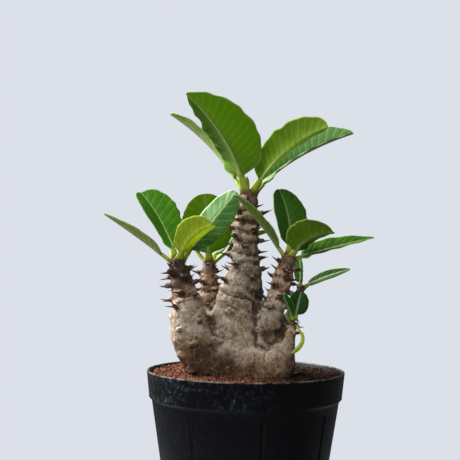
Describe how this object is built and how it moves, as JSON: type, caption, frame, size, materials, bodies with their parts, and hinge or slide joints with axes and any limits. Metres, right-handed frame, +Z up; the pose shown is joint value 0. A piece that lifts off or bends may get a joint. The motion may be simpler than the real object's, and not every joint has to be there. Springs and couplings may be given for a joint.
{
  "type": "potted pachypodium",
  "caption": "Small many-stemmed succulent with a swollen spiny trunk and glossy oval leaves, growing in reddish granular soil in a round tapered black nursery pot.",
  "frame": {"origin": "centre of the pot's flat underside, on the surface the pot stands on", "axes": "+Z up along the pot's axis; the front of the plant faces -Y, with the tall centre stem behind the left and right stems' crowns; +X to the right seen from the front"},
  "size_m": [0.1234, 0.09, 0.2048],
  "materials": {
    "pot_plastic": "satin",
    "soil_grains": "matte",
    "bark": "matte",
    "leaf": "satin",
    "young_leaf": "satin"
  },
  "bodies": {
    "root": {"pot": "pot_plastic", "soil": "soil_grains", "trunk": "bark", "leaf_centre_front_left": "leaf", "leaf_centre_front_right": "leaf", "leaf_centre_back_right": "leaf", "leaf_centre_back_left": "leaf", "leaf_centre_bud": "young_leaf", "leaf_left_outer": "leaf", "leaf_left_back": "leaf", "leaf_left_front": "young_leaf", "leaf_left_inner": "leaf", "leaf_rear_left_front": "leaf", "leaf_rear_left_outer": "leaf", "leaf_rear_left_inner": "leaf", "leaf_rear_left_back": "leaf", "leaf_right_inner": "leaf", "leaf_right_back": "leaf", "leaf_right_front": "leaf", "leaf_right_outer": "leaf", "leaf_rear_right_upright": "leaf", "leaf_rear_right_outer": "leaf", "leaf_offset_round": "leaf", "leaf_offset_narrow": "leaf", "leaf_offset_bud": "young_leaf", "leaf_offset_drooping": "young_leaf"}
  },
  "joints": []
}
